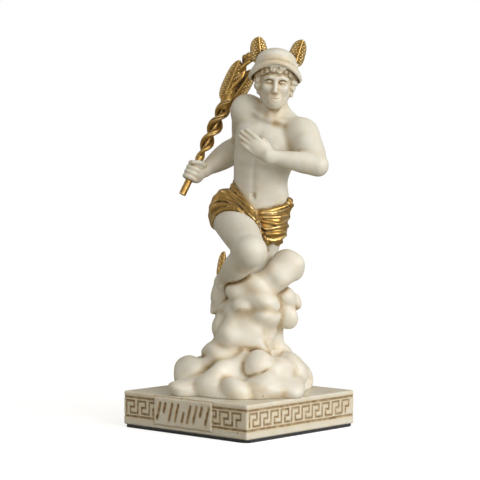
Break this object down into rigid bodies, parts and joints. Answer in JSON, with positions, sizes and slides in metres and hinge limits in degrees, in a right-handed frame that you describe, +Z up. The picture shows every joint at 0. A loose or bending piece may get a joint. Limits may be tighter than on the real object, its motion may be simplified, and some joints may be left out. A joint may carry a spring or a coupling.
{
  "type": "cast resin figurine",
  "caption": "Small cast-resin souvenir statue of a winged messenger god with a herald's staff, stepping over clouds on a square plinth with a Greek-key border.",
  "frame": {"origin": "middle of the felt pad's underside, on the surface the statue stands on", "axes": "+Z up; the plinth's sides lie along X and Y; the plaque is on the face at -Y; the figure looks out over the corner at +X -Y"},
  "size_m": [0.0386, 0.0387, 0.0913],
  "materials": {
    "felt": "matt black flocked felt",
    "ivory_resin": "alabaster-look cast resin with a brown wash in its recesses",
    "gold_paint": "antique gold paint over cast resin, dark in its recesses"
  },
  "bodies": {
    "root": {"felt_pad": "felt", "plinth": "ivory_resin", "figure_on_clouds": "ivory_resin", "caduceus": "gold_paint"}
  },
  "joints": []
}
